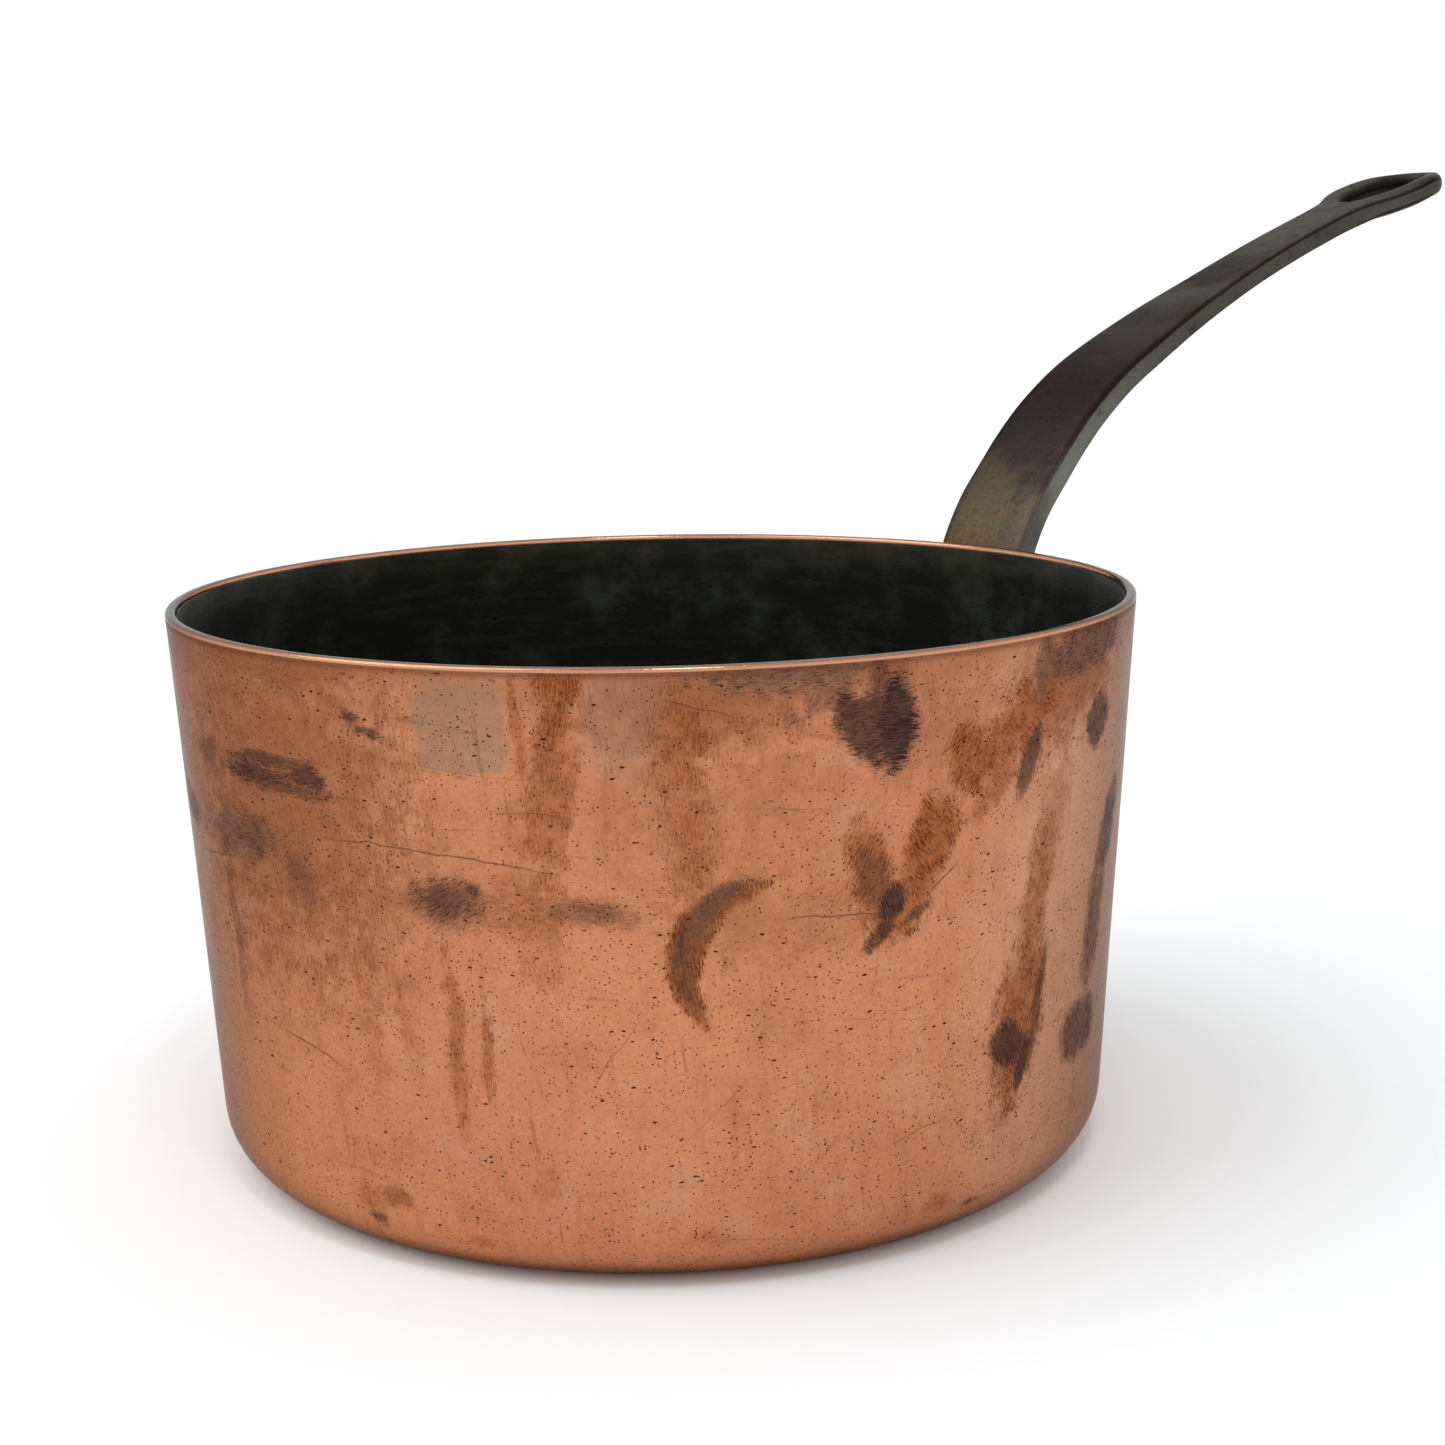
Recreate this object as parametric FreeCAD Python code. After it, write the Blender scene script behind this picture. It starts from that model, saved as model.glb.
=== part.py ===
import FreeCAD, Part
import math
import os

from FreeCAD import Vector

# A riveted copper saucepan. Millimetres, +Z up.
# The origin is the centre of the flat underside that the pan rests on, and +X runs to the handle.

# Driving dimensions of the copper vessel
rim_radius = 120.0
pan_height = 138.3
wall_taper = 3.26
wall_thickness = 2.5
corner_radius = 14.4
lip_height = 6.0
lip_flare = 0.4
rim_rounding = 0.8

# Driving dimensions of the tin lining
tin_thickness = 0.3
tin_below_rim = 1.2

# Driving dimensions of the rivets
shank_radius = 4.0
outer_head_radius = 7.5
outer_head_height = 2.8
inner_head_radius = 8.0
inner_head_height = 1.8
head_land_share = 0.3
head_sink = 1.0
upper_rivet_height = 87.0
lower_rivet_height = 60.0
upper_rivet_side = 27.0

# Driving dimensions of the handle
stem_thickness = 7.2
tip_thickness = 6.2
edge_rounding = 1.9
plate_thickness = 4.2
plate_rounding = 1.3
plate_top = 126.0
plate_bottom = lower_rivet_height - 14.0

# Stations along the middle of the handle's upper face, as (x, z, half width). It starts inside the
# wall, leaves it just under the rim, swings outwards in one bend and rises gently to the eyelet.
handle_stations = [(112.4, 78.0, 14.5), (116.0, 104.0, 15.5), (119.4, 126.0, 15.5), (125.6, 143.0, 15.5)]
handle_stations += [(138.0, 159.0, 15.5), (157.0, 177.0, 15.5), (185.0, 193.2, 14.6), (228.0, 210.9, 11.3)]
handle_stations += [(262.0, 223.1, 10.2), (290.0, 231.9, 10.1), (303.0, 235.7, 11.9), (313.0, 238.5, 15.2)]
handle_stations += [(321.0, 240.6, 16.2), (333.0, 243.6, 14.9), (341.0, 244.9, 12.3), (346.5, 245.7, 8.9)]
handle_stations += [(350.5, 246.0, 5.4), (353.0, 246.2, 2.2)]

# Half of the eyelet's teardrop hole, as (x, y), between its point and its round end
hole_start = 302.0
hole_half = [(304.0, 2.2), (311.0, 6.2), (320.0, 8.3), (333.0, 7.4), (342.0, 4.4)]
hole_end = 345.4

# Half of the riveting plate's outline, as (y, z), between its top and its foot: a shoulder beside
# the stem, a lobe round the upper rivet, a hollow, and the lobe of the lower rivet
plate_half = [(15.0, plate_top - 4.0), (22.0, upper_rivet_height + 18.5)]
plate_half += [(upper_rivet_side + 4.0, upper_rivet_height + 13.5)]
plate_half += [(upper_rivet_side + 13.0, upper_rivet_height + 3.0)]
plate_half += [(upper_rivet_side + 11.0, upper_rivet_height - 9.0)]
plate_half += [(upper_rivet_side, upper_rivet_height - 15.5)]
plate_half += [(17.5, lower_rivet_height + 5.0), (13.0, lower_rivet_height - 7.0)]

rivet_places = {
    "rivet_upper_left": (upper_rivet_height, upper_rivet_side),
    "rivet_upper_right": (upper_rivet_height, -upper_rivet_side),
    "rivet_lower": (lower_rivet_height, 0.0),
}

# Derived sizes of the tapered wall and of the bend at its foot
taper = math.radians(wall_taper)
lip_base = pan_height - lip_height
lip_base_radius = rim_radius - lip_flare
bend_top = corner_radius * (1 - math.sin(taper))
half_diagonal = math.sqrt(0.5)


def wall_radius(height, depth=0.0):
    """Radius of the tapered wall at a height, measured at a depth under its outer surface."""
    return lip_base_radius - (lip_base - height) * math.tan(taper) - depth / math.cos(taper)


def line(start, end):
    return Part.LineSegment(start, end).toShape()


def closed_lines(points):
    """Straight edges through points and back to the first."""
    return [line(start, end) for start, end in zip(points, points[1:] + points[:1])]


def revolved(edges):
    """Solid of revolution about Z of a closed outline in the XZ plane."""
    return Part.Face(Part.Wire(edges)).revolve(Vector(0, 0, 0), Vector(0, 0, 1), 360)


def bend_points(depth):
    """Start, middle and end of the arc at the wall's foot, at a depth under the outer surface."""
    centre_radius = wall_radius(bend_top) - corner_radius * math.cos(taper)
    radius = corner_radius - depth
    points = []
    for angle in (-math.pi / 2, (-math.pi / 2 - taper) / 2, -taper):
        x = centre_radius + radius * math.cos(angle)
        points.append(Vector(x, 0, corner_radius + radius * math.sin(angle)))
    return points


def skin_below(depth, top):
    """Points and edges of one side of the wall, from the middle of the floor up to a height."""
    floor_edge, middle, wall_foot = bend_points(depth)
    centre = Vector(0, 0, depth)
    wall_top = Vector(wall_radius(top, depth), 0, top)
    bend = Part.Arc(floor_edge, middle, wall_foot).toShape()
    edges = [line(centre, floor_edge), bend, line(wall_foot, wall_top)]
    return centre, wall_top, edges


def vessel():
    """The copper body: flat floor, rounded foot, tapered wall and a slightly flared, rounded lip."""
    outer_centre, lip_start, outer_edges = skin_below(0.0, lip_base)
    inner_centre, inner_rim, inner_edges = skin_below(wall_thickness, pan_height - rim_rounding)
    lip_end = Vector(rim_radius, 0, pan_height - rim_rounding)
    top_outer = Vector(rim_radius - rim_rounding, 0, pan_height)
    top_inner = Vector(inner_rim.x + rim_rounding, 0, pan_height)
    round_height = lip_end.z + rim_rounding * half_diagonal
    outer_round = Vector(top_outer.x + rim_rounding * half_diagonal, 0, round_height)
    inner_round = Vector(top_inner.x - rim_rounding * half_diagonal, 0, round_height)
    lip = [line(lip_start, lip_end), Part.Arc(lip_end, outer_round, top_outer).toShape()]
    lip += [line(top_outer, top_inner), Part.Arc(top_inner, inner_round, inner_rim).toShape()]
    return revolved(outer_edges + lip + inner_edges[::-1] + [line(inner_centre, outer_centre)])


def lining():
    """The wiped tin, a thin skin on the copper from the floor to just under the rim."""
    tin_top = pan_height - tin_below_rim
    outer_centre, outer_top, outer_edges = skin_below(wall_thickness, tin_top)
    inner_centre, inner_top, inner_edges = skin_below(wall_thickness + tin_thickness, tin_top)
    across_top = [line(outer_top, inner_top)]
    return revolved(outer_edges + across_top + inner_edges[::-1] + [line(inner_centre, outer_centre)])


def vessel_envelope():
    """Everything inside the vessel's outer surface, which the handle stays clear of."""
    corners = [Vector(0, 0, 0), Vector(wall_radius(0.0), 0, 0), Vector(lip_base_radius, 0, lip_base)]
    corners += [Vector(rim_radius, 0, pan_height), Vector(0, 0, pan_height)]
    return revolved(closed_lines(corners))


def symmetric_face(points, mirror):
    """Face inside a closed smooth curve whose first and last points lie on the mirror line."""
    curve = Part.BSplineCurve()
    curve.interpolate(points + [mirror(point) for point in points[-2:0:-1]], PeriodicFlag=True)
    return Part.Face(Part.Wire(curve.toShape()))


def rounded_section(centre, up, width, thickness):
    """Rounded rectangle across the handle, its width along Y and its thickness along up."""
    across = Vector(0, 1, 0)
    arcs = []
    for right, top in ((1, 1), (-1, 1), (-1, -1), (1, -1)):
        corner = centre + across * (right * width / 2) + up * (top * thickness / 2)
        to_middle = across * (-right * edge_rounding)
        to_centre = up * (-top * edge_rounding)
        middle = corner + (to_middle + to_centre) * (1 - half_diagonal)
        ends = [corner + to_centre, corner + to_middle]
        if right != top:
            ends.reverse()
        arcs.append((ends[0], middle, ends[1]))
    edges = []
    for this_arc, next_arc in zip(arcs, arcs[1:] + arcs[:1]):
        edges.append(Part.Arc(*this_arc).toShape())
        edges.append(line(this_arc[2], next_arc[0]))
    return Part.Wire(edges)


def handle_bar():
    """Stem and eyelet as one bar of rounded section, from inside the wall to the round tip."""
    face_curve = Part.BSplineCurve()
    face_curve.interpolate([Vector(x, 0, z) for x, z, half_width in handle_stations])
    sections = []
    for x, z, half_width in handle_stations:
        point = Vector(x, 0, z)
        along = face_curve.tangent(face_curve.parameter(point))[0]
        up = Vector(-along.z, 0, along.x)
        thinning = min(1.0, max(0.0, x / rim_radius - 1.0))
        thickness = stem_thickness + (tip_thickness - stem_thickness) * thinning
        sections.append(rounded_section(point - up * (thickness / 2), up, 2 * half_width, thickness))
    return Part.makeLoft(sections, True, False)


def eyelet_hole():
    """Upright teardrop prism that opens the eyelet for a hook."""
    points = [Vector(hole_start, 0, 0)] + [Vector(x, y, 0) for x, y in hole_half] + [Vector(hole_end, 0, 0)]
    return symmetric_face(points, lambda p: Vector(p.x, -p.y, 0)).extrude(Vector(0, 0, 3 * pan_height))


def riveting_plate():
    """Three-lobed foot of the handle, curved to the wall and rounded along its outer edge."""
    points = [Vector(0, 0, plate_top)]
    points += [Vector(0, y, z) for y, z in plate_half]
    points += [Vector(0, 0, plate_bottom)]
    outline = symmetric_face(points, lambda p: Vector(0, -p.y, p.z))
    low = plate_bottom - shank_radius
    ring_corners = [(low, 0.0), (low, plate_thickness), (lip_base, plate_thickness), (lip_base, 0.0)]
    ring = revolved(closed_lines([Vector(wall_radius(z, -out), 0, z) for z, out in ring_corners]))
    plate = ring.common(outline.extrude(Vector(2 * rim_radius, 0, 0)))
    outer_edges = []
    for edge in plate.Edges:
        middle = edge.valueAt((edge.FirstParameter + edge.LastParameter) / 2)
        if math.hypot(middle.x, middle.y) > wall_radius(middle.z, -plate_thickness / 2):
            outer_edges.append(edge)
    long_edges = [edge for edge in outer_edges if edge.Length > 2 * plate_thickness]
    return plate.makeFillet(plate_rounding, long_edges)


def on_wall(shape, height, side):
    """Place a shape made about the X axis on the wall, square to it, at a height and a Y offset."""
    shape.rotate(Vector(0, 0, 0), Vector(0, 1, 0), wall_taper)
    shape.translate(Vector(wall_radius(height), 0, height))
    shape.rotate(Vector(0, 0, 0), Vector(0, 0, 1), math.degrees(math.asin(side / wall_radius(height))))
    return shape


def round_bar(radius, start, end):
    """Cylinder along X between two distances from the wall's outer surface."""
    return Part.makeCylinder(radius, end - start, Vector(start, 0, 0), Vector(1, 0, 0))


def domed_head(seat, radius, height, outwards):
    """Domed head about the X axis, sunk a little past its seat so that the seat can be cut to fit."""
    land = height * head_land_share
    dome = height - land
    ball_radius = (radius ** 2 + dome ** 2) / (2 * dome)
    half_angle = math.asin(radius / ball_radius) / 2
    ball_centre = seat + outwards * (height - ball_radius)
    back = Vector(seat - outwards * head_sink, 0, 0)
    shoulder = Vector(seat + outwards * land, radius, 0)
    crown_x = ball_centre + outwards * ball_radius * math.cos(half_angle)
    crown = Vector(crown_x, ball_radius * math.sin(half_angle), 0)
    top = Vector(seat + outwards * height, 0, 0)
    back_corner = Vector(back.x, radius, 0)
    edges = [line(back, back_corner), line(back_corner, shoulder)]
    edges += [Part.Arc(shoulder, crown, top).toShape(), line(top, back)]
    return Part.Face(Part.Wire(edges)).revolve(Vector(0, 0, 0), Vector(1, 0, 0), 360)


solid_vessel = vessel()
solid_handle = riveting_plate().fuse(handle_bar().cut(vessel_envelope())).cut(eyelet_hole())
pieces = {"pan_body": solid_vessel, "tin_lining": lining(), "handle": solid_handle}

for name, (height, side) in rivet_places.items():
    outer_head = on_wall(domed_head(plate_thickness, outer_head_radius, outer_head_height, 1), height, side)
    inner_head = on_wall(domed_head(-wall_thickness, inner_head_radius, inner_head_height, -1), height, side)
    shank_bar = round_bar(shank_radius, -wall_thickness - head_sink, plate_thickness + head_sink)
    shank = on_wall(shank_bar, height, side)
    seated_heads = outer_head.cut(solid_handle).fuse(inner_head.cut(solid_vessel))
    pieces[name] = seated_heads.fuse(shank)
    shank_hole = on_wall(round_bar(shank_radius, -rim_radius / 2, rim_radius / 2), height, side)
    head_room = on_wall(round_bar(inner_head_radius, -rim_radius / 2, 0.0), height, side)
    pieces["pan_body"] = pieces["pan_body"].cut(shank_hole)
    pieces["handle"] = pieces["handle"].cut(shank_hole)
    pieces["tin_lining"] = pieces["tin_lining"].cut(head_room)

os.makedirs("parts", exist_ok=True)
for name, shape in pieces.items():
    piece = shape.removeSplitter()
    print(name, piece.isValid(), len(piece.Solids), round(piece.Volume / 1000, 2), "cm3")
    piece.exportStep("parts/" + name + ".step")
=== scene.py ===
import math

import bmesh
import bpy
from mathutils import Matrix, Vector, noise


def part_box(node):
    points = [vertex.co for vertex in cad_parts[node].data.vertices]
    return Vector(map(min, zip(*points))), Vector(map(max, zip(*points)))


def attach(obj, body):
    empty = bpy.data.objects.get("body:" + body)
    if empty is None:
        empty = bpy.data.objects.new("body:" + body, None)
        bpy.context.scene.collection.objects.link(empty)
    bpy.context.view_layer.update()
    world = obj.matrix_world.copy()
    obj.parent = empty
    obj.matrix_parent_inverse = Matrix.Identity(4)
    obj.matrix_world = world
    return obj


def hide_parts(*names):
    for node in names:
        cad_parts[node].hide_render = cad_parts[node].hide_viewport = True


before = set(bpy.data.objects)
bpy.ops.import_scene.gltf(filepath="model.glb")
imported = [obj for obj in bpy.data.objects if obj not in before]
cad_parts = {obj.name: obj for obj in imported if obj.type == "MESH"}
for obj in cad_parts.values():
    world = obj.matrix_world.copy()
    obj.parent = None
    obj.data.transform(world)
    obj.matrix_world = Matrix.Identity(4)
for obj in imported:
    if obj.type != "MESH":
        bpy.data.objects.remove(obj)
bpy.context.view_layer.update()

mm = 0.001
noise.seed_set(1)       # unseeded, its vectors differ from run to run
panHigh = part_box("pan_body")[1]
studioScene = bpy.context.scene
studioScene.view_settings.view_transform = "Standard"


# studio: camera, floor and light

studio = {
    "cameraPlace": (-0.3636, -0.4334, 0.2148),
    "cameraTurn": 41.70,        # degrees from +Y towards +X
    "cameraDip": 11.16,         # degrees below level
    "cameraRoll": -0.97,
    "lens": 56.26,
    "floorRadius": 8.0,
    "floorColour": (0.835, 0.865, 0.880, 1.0),
    "skyLow": 1.01,
    "skyHigh": 0.92,
    "keyStrength": 1.05,
    "keyTurn": 150.0,           # degrees from +X, the side the key light comes from
    "keyHeight": 50.0,          # degrees above the floor
    "keySpread": 50.0,
    "softboxPlace": (-0.32, -0.55, 1.36),
    "softboxSize": 0.3,
    "softboxPower": 3.2,
}


def makeCamera():
    turn = math.radians(studio["cameraTurn"])
    dip = math.radians(studio["cameraDip"])
    roll = math.radians(studio["cameraRoll"])
    ahead = Vector((math.sin(turn) * math.cos(dip), math.cos(turn) * math.cos(dip), -math.sin(dip)))
    level = Vector((math.cos(turn), -math.sin(turn), 0.0))
    up = level.cross(ahead)
    right = level * math.cos(roll) + up * math.sin(roll)
    top = up * math.cos(roll) - level * math.sin(roll)
    lensData = bpy.data.cameras.new("studioCamera")
    lensData.lens = studio["lens"]
    lensData.sensor_width = 36.0
    lensData.clip_start = 0.01
    lensData.clip_end = 50.0
    camera = bpy.data.objects.new("studioCamera", lensData)
    axes = Matrix((right, top, -ahead)).transposed().to_4x4()
    camera.matrix_world = Matrix.Translation(studio["cameraPlace"]) @ axes
    studioScene.collection.objects.link(camera)
    studioScene.camera = camera


def makeStudio():
    mesh = bmesh.new()
    bmesh.ops.create_circle(mesh, cap_ends=True, segments=96, radius=studio["floorRadius"])
    floor = newPiece("studioFloor", mesh, smooth=False)
    paint = newMaterial("floorPaper")
    shader = paint.node_tree.nodes["Principled BSDF"]
    shader.inputs["Base Color"].default_value = studio["floorColour"]
    shader.inputs["Roughness"].default_value = 0.8
    shader.inputs["Specular IOR Level"].default_value = 0.2
    floor.data.materials.append(paint)

    sky = bpy.data.worlds.new("softTent")
    sky.use_nodes = True
    studioScene.world = sky
    tree = sky.node_tree
    background = tree.nodes["Background"]
    place = addNode(tree, "ShaderNodeTexCoord")
    rise = split(tree, place.outputs["Generated"])["Z"]
    light = stretch(tree, rise, 0.0, 1.0, studio["skyLow"], studio["skyHigh"])
    feed(tree, background.inputs["Strength"], light)
    background.inputs["Color"].default_value = (1.0, 1.0, 1.0, 1.0)

    sun = bpy.data.lights.new("keyTent", "SUN")
    sun.energy = studio["keyStrength"]
    sun.angle = math.radians(studio["keySpread"])
    key = bpy.data.objects.new("keyTent", sun)
    turn = math.radians(studio["keyTurn"])
    height = math.radians(studio["keyHeight"])
    away = Vector((math.cos(turn) * math.cos(height), math.sin(turn) * math.cos(height), math.sin(height)))
    key.rotation_euler = away.to_track_quat("Z", "Y").to_euler()
    studioScene.collection.objects.link(key)

    box = bpy.data.lights.new("overheadSoftbox", "AREA")
    box.shape = "SQUARE"
    box.size = studio["softboxSize"]
    box.energy = studio["softboxPower"]
    softbox = bpy.data.objects.new("overheadSoftbox", box)
    softbox.location = studio["softboxPlace"]
    softbox.rotation_euler = Vector(studio["softboxPlace"]).to_track_quat("Z", "Y").to_euler()
    studioScene.collection.objects.link(softbox)


# pieces and meshes

def newPiece(name, mesh, smooth=True):
    data = bpy.data.meshes.new(name)
    mesh.to_mesh(data)
    mesh.free()
    for face in data.polygons:
        face.use_smooth = smooth
    piece = bpy.data.objects.new(name, data)
    studioScene.collection.objects.link(piece)
    return piece


def arcPoints(centre, radius, start, end, steps):
    points = []
    for step in range(steps + 1):
        angle = math.radians(start + (end - start) * step / steps)
        points.append((centre[0] + radius * math.cos(angle), centre[1] + radius * math.sin(angle)))
    return points


def spinProfile(points, steps, axis=(0.0, 0.0, 1.0), across=(1.0, 0.0, 0.0)):
    # points are (distance from the axis, distance along it)
    along = Vector(axis)
    out = Vector(across)
    mesh = bmesh.new()
    verts = [mesh.verts.new(out * reach + along * rise) for reach, rise in points]
    edges = [mesh.edges.new(pair) for pair in zip(verts, verts[1:])]
    bmesh.ops.spin(mesh, geom=verts + edges, cent=(0, 0, 0), axis=axis, dvec=(0, 0, 0),
                   angle=math.tau, steps=steps, use_merge=True, use_duplicate=False)
    bmesh.ops.remove_doubles(mesh, verts=mesh.verts[:], dist=0.01 * mm)
    bmesh.ops.recalc_face_normals(mesh, faces=mesh.faces[:])
    return mesh


def smoothStep(value, low, high):
    share = min(1.0, max(0.0, (value - low) / (high - low)))
    return share * share * (3.0 - 2.0 * share)


def throughPoints(rows, share):
    # Catmull-Rom through rows of numbers, share runs from 0 to 1
    spot = share * (len(rows) - 1)
    index = min(int(spot), len(rows) - 2)
    part = spot - index
    before = rows[max(index - 1, 0)]
    after = rows[min(index + 2, len(rows) - 1)]
    first, second = rows[index], rows[index + 1]
    blended = []
    for a, b, c, d in zip(before, first, second, after):
        blended.append(0.5 * (2 * b + (c - a) * part + (2 * a - 5 * b + 4 * c - d) * part ** 2
                              + (3 * b - a - 3 * c + d) * part ** 3))
    return blended


# the copper vessel and its tin

vesselShape = {
    "wallTaper": 3.26,          # degrees
    "wallThickness": 2.5 * mm,
    "footRadius": 14.4 * mm,
    "lipHeight": 6.0 * mm,
    "lipFlare": 0.4 * mm,
    "rimRounding": 0.8 * mm,
    "tinThickness": 0.3 * mm,
    "tinBelowRim": 1.2 * mm,
    "turnSteps": 512,
    "tinSteps": 256,
    "wallRows": 92,
    "waveHeight": 0.16 * mm,    # hand-planished waviness of the wall
    "waveLength": 38.0 * mm,
    "rimWave": 0.10 * mm,
    "rimInset": 0.08 * mm,      # keeps the highest wave inside the nominal radius
}
rimRadius = panHigh[1]
rimHeight = panHigh[2]
wallSlope = math.tan(math.radians(vesselShape["wallTaper"]))


def wallRadius(height, depth=0.0):
    lipBase = rimHeight - vesselShape["lipHeight"]
    lean = math.cos(math.radians(vesselShape["wallTaper"]))
    return rimRadius - vesselShape["lipFlare"] - (lipBase - height) * wallSlope - depth / lean


def footArc(depth, steps):
    taper = vesselShape["wallTaper"]
    radius = vesselShape["footRadius"]
    bendTop = radius * (1.0 - math.sin(math.radians(taper)))
    centre = (wallRadius(bendTop) - radius * math.cos(math.radians(taper)), radius)
    return arcPoints(centre, radius - depth, -90.0, -taper, steps)


def wallPoints(depth, low, high, rows):
    heights = [low + (high - low) * row / rows for row in range(rows + 1)]
    return [(wallRadius(height, depth), height) for height in heights]


def floorPoints(depth, reach, rings):
    return [(reach * ring / rings, depth) for ring in range(rings)]


def planish(mesh, strength):
    # the maker's hammer leaves long shallow waves round the wall and a slightly uneven rim
    shape = vesselShape
    for vert in mesh.verts:
        reach = math.hypot(vert.co.x, vert.co.y)
        if reach < 0.3 * rimRadius:
            continue
        spot = Vector((vert.co.x, vert.co.y, vert.co.z * 0.6)) / shape["waveLength"]
        wave = noise.noise(spot) * shape["waveHeight"] + noise.noise(spot * 3.1) * shape["waveHeight"] * 0.22
        wave *= smoothStep(vert.co.z, 0.002, 0.02)
        rimShare = smoothStep(vert.co.z, rimHeight - 5 * mm, rimHeight)
        rimSpot = spot * 2.3 + Vector((9.0, 0.0, 0.0))
        wave += rimShare * (noise.noise(rimSpot) * shape["rimWave"] - shape["rimInset"])
        vert.co.x += vert.co.x / reach * wave * strength
        vert.co.y += vert.co.y / reach * wave * strength


def makeVessel():
    shape = vesselShape
    rounding = shape["rimRounding"]
    lipBase = rimHeight - shape["lipHeight"]
    thickness = shape["wallThickness"]
    outerFoot = footArc(0.0, 10)
    innerFoot = footArc(thickness, 4)
    innerRim = wallRadius(rimHeight, thickness)
    profile = floorPoints(0.0, outerFoot[0][0], 8) + outerFoot
    profile += wallPoints(0.0, outerFoot[-1][1], lipBase, shape["wallRows"])[1:]
    profile += [(rimRadius - 0.15 * shape["lipFlare"], rimHeight - 2.4 * rounding)]
    profile += arcPoints((rimRadius - rounding, rimHeight - rounding), rounding, 0.0, 90.0, 4)
    profile += arcPoints((innerRim + rounding, rimHeight - rounding), rounding, 90.0, 180.0, 4)
    profile += wallPoints(thickness, innerFoot[-1][1], rimHeight - 2 * rounding, 8)[::-1]
    profile += innerFoot[::-1][1:] + floorPoints(thickness, innerFoot[0][0], 4)[::-1]
    mesh = spinProfile(profile, shape["turnSteps"])
    planish(mesh, 1.0)
    vessel = newPiece("copperVessel", mesh)
    rubStains(vessel)
    vessel.data.materials.append(makeCopper())
    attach(vessel, "root")
    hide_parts("pan_body")
    print("copper vessel", len(vessel.data.polygons), "faces")


def makeTin():
    shape = vesselShape
    depth = shape["wallThickness"]
    full = depth + shape["tinThickness"]
    top = rimHeight - shape["tinBelowRim"]
    outerFoot = footArc(depth, 8)
    innerFoot = footArc(full, 8)
    profile = floorPoints(depth, outerFoot[0][0], 6) + outerFoot
    profile += wallPoints(depth, outerFoot[-1][1], top - 0.3 * mm, 16)[1:]
    edge = (wallRadius(top, depth + 0.5 * shape["tinThickness"]), top)
    profile += [edge] + wallPoints(full, innerFoot[-1][1], top - 0.3 * mm, 16)[::-1]
    profile += innerFoot[::-1][1:] + floorPoints(full, innerFoot[0][0], 6)[::-1]
    mesh = spinProfile(profile, shape["tinSteps"])
    planish(mesh, 1.0)
    tin = newPiece("wipedTin", mesh)
    tin.data.materials.append(makeDarkTin())
    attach(tin, "root")
    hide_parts("tin_lining")
    print("wiped tin", len(tin.data.polygons), "faces")


# the iron handle

handleShape = {
    # (height, half width) of the plate on the wall, in mm, from its foot up
    "footHeights": [(46.2, 4.5), (48.5, 8.9), (53.0, 13.0), (59.0, 14.6), (65.0, 17.5), (71.5, 27.0),
                    (78.0, 38.0), (84.0, 40.2), (90.0, 40.0), (95.5, 37.0), (100.5, 31.0), (105.5, 22.5),
                    (112.0, 17.5), (119.0, 15.7)],
    # middle of the bar's face towards the pan (x, z) and half its width, out to the crotch
    "stem": [(119.4, 126.0, 15.5), (121.6, 134.5, 15.5), (125.6, 143.0, 15.5), (131.0, 151.3, 15.5),
             (138.0, 159.0, 15.5), (147.0, 168.4, 15.5), (157.0, 177.0, 15.4), (170.5, 186.0, 15.1),
             (185.0, 193.2, 14.6), (206.0, 202.4, 13.0), (228.0, 210.9, 11.3), (245.0, 217.2, 10.5),
             (262.0, 223.1, 10.2), (276.0, 227.6, 10.05), (290.0, 231.9, 10.1), (297.0, 233.9, 10.7)],
    # middle line of the face (x, z) round the eyelet
    "face": [(282.0, 229.4), (290.0, 231.9), (303.0, 235.7), (313.0, 238.5), (321.0, 240.6),
             (334.0, 243.7), (346.0, 245.3), (352.5, 245.7), (357.0, 245.9)],
    # eyelet limb: inner edge (x, y) and outer edge (x, y) in mm, from the crotch round to the tip
    "limb": [(302.0, 0.0, 302.0, 11.7), (304.0, 2.3, 305.5, 12.7), (311.0, 6.2, 311.5, 14.9),
             (320.0, 8.3, 321.0, 16.2), (333.0, 7.4, 333.5, 14.8), (341.0, 4.9, 343.5, 10.9),
             (344.5, 2.5, 350.3, 5.5), (345.4, 0.0, 353.2, 0.0)],
    "stemColumns": [0.0, 0.11, 0.22, 0.33, 0.44, 0.54, 0.64, 0.73, 1.0],
    "limbColumns": [0.0, 0.27, 0.35, 0.42, 0.50, 0.58, 0.65, 0.73, 1.0],
    "plateThickness": 4.2,
    "stemThickness": 7.2,
    "tipThickness": 6.2,
    "edgeRounding": 2.1,
    "plateRounding": 1.3,
    "rowSpacing": 3.2,
    "footSpacing": 0.45,        # share of the row spacing kept where the foot is narrow
    "footTop": 60.0,
    "leavesWall": (116.0, 131.0),       # heights between which the bar comes away from the wall
    "ribHeights": (70.0, 122.0),        # heights between which the plate thickens into the bar
    "thinningReach": (130.0, 240.0),    # distances from the pan's axis between which the bar thins
    "limbRowCount": 26,
    "crown": 0.35,              # how far the middle of a face stands over its edges
    "limbDrop": 1.2,            # rounding of the eyelet's limbs
}


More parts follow.
